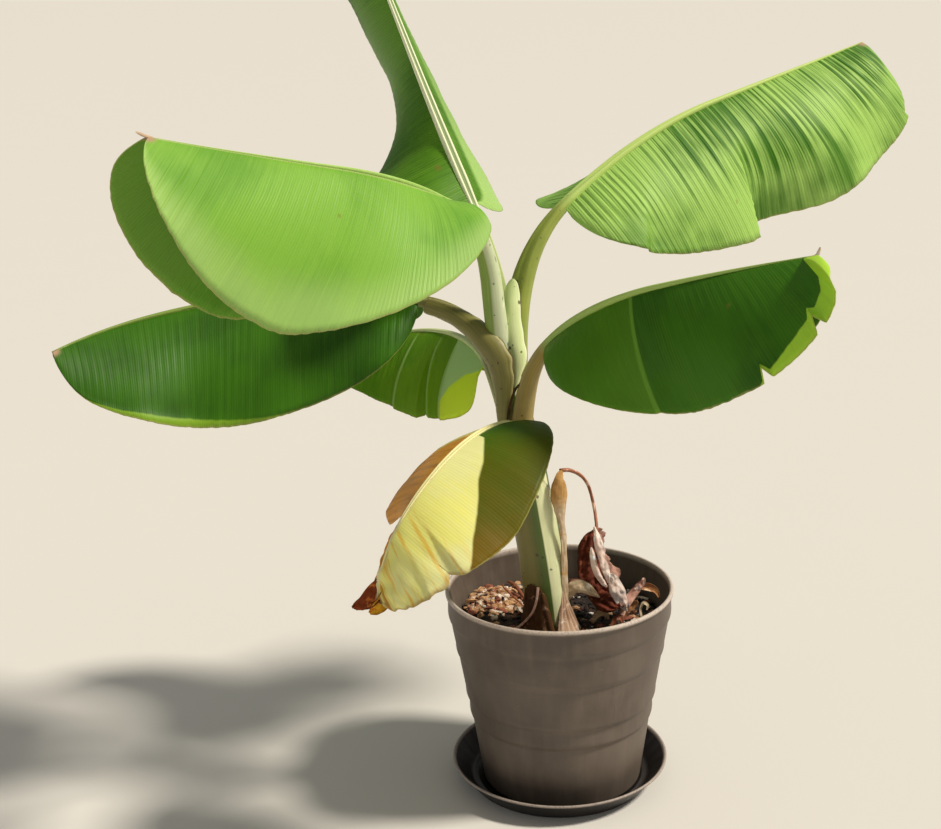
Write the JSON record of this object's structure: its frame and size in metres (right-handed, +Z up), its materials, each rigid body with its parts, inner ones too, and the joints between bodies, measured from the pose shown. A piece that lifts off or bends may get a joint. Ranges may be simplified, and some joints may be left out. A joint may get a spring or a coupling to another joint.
{
  "type": "potted banana plant",
  "caption": "Young banana plant with broad arching leaves, a yellowing leaf and a withered leaf, in a round ribbed pot of soil that stands in a saucer.",
  "frame": {"origin": "centre of the saucer's flat underside", "axes": "+Z up along the pot's axis; -Y toward the viewer of the picture, +X to the viewer's right"},
  "size_m": [1.068, 0.8429, 1.1388],
  "materials": {
    "saucer": "near-black moulded plastic, dusty, with a paler worn lip",
    "pot": "taupe moulded plastic with a soft sheen, dust and a paler worn lip",
    "soil": "dark moist potting soil with bark chips",
    "stem": "smooth waxy pale green leaf bases with fibre streaks",
    "stalk": "smooth waxy yellow-green, paler along the channel",
    "dry_stalk": "dry wrinkled pinkish brown",
    "dry_sheath": "papery dry tan and brown sheath with fibre streaks",
    "green_blade": "soft waxy green with close parallel veins and a pale midrib",
    "yellow_blade": "yellow, green at its base, brown at its torn tip",
    "withered_blade": "dry crumpled red-brown with pale papery edges"
  },
  "bodies": {
    "root": {"saucer": "saucer", "pot": "pot", "soil": "soil", "stem": "stem", "leaf_back_stalk": "stalk", "leaf_left_lower_stalk": "stalk", "leaf_left_upper_stalk": "stalk", "leaf_right_lower_stalk": "stalk", "leaf_right_upper_stalk": "stalk", "leaf_top_stalk": "stalk", "leaf_withered_stalk": "dry_stalk", "leaf_yellow_stalk": "stalk", "sheath_curl": "dry_sheath", "sheath_dry": "dry_sheath", "sheath_foot": "dry_sheath", "sheath_withered": "dry_sheath", "leaf_back_blade": "green_blade", "leaf_left_lower_blade": "green_blade", "leaf_left_upper_blade": "green_blade", "leaf_right_lower_blade": "green_blade", "leaf_right_upper_blade": "green_blade", "leaf_top_blade": "green_blade", "leaf_withered_blade": "withered_blade", "leaf_yellow_blade": "yellow_blade"}
  },
  "joints": []
}
